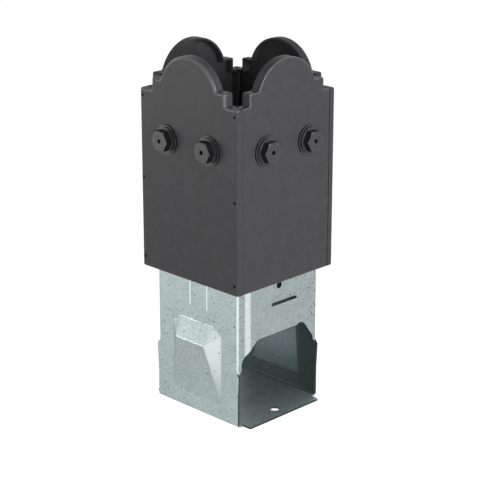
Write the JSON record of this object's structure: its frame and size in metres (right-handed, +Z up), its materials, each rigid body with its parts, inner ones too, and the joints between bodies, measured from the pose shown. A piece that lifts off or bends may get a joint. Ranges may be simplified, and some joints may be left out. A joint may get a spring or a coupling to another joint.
{
  "type": "timber post base",
  "caption": "Post base for a square timber post: a folded galvanised standoff sleeve on a drilled base plate, with a black arched trim cover and hexagon-headed washers on screws.",
  "frame": {"origin": "middle of the base plate's underside", "axes": "+Z up along the post; -Y faces the front, one of the two arched openings; the pressed bosses face -X and +X"},
  "size_m": [0.2002, 0.2002, 0.4725],
  "materials": {
    "galvanised_steel": "hot-dip galvanised, fine spangle",
    "black_coating": "matt black powder coat",
    "black_fastener": "satin black coated steel"
  },
  "bodies": {
    "root": {"folded_base": "galvanised_steel", "cover_left": "black_coating", "cover_front": "black_coating", "cover_right": "black_coating", "cover_back": "black_coating", "hex_washer_left_1": "black_fastener", "timber_screw_left_1": "black_fastener", "hex_washer_left_2": "black_fastener", "timber_screw_left_2": "black_fastener", "hex_washer_front_1": "black_fastener", "timber_screw_front_1": "black_fastener", "hex_washer_front_2": "black_fastener", "timber_screw_front_2": "black_fastener", "hex_washer_right_1": "black_fastener", "timber_screw_right_1": "black_fastener", "hex_washer_right_2": "black_fastener", "timber_screw_right_2": "black_fastener", "hex_washer_back_1": "black_fastener", "timber_screw_back_1": "black_fastener", "hex_washer_back_2": "black_fastener", "timber_screw_back_2": "black_fastener", "trim_screw_left_1": "black_fastener", "trim_screw_left_2": "black_fastener", "trim_screw_left_3": "black_fastener", "trim_screw_left_4": "black_fastener", "trim_screw_left_5": "black_fastener", "trim_screw_left_6": "black_fastener", "trim_screw_right_1": "black_fastener", "trim_screw_right_2": "black_fastener", "trim_screw_right_3": "black_fastener", "trim_screw_right_4": "black_fastener", "trim_screw_right_5": "black_fastener", "trim_screw_right_6": "black_fastener"}
  },
  "joints": []
}
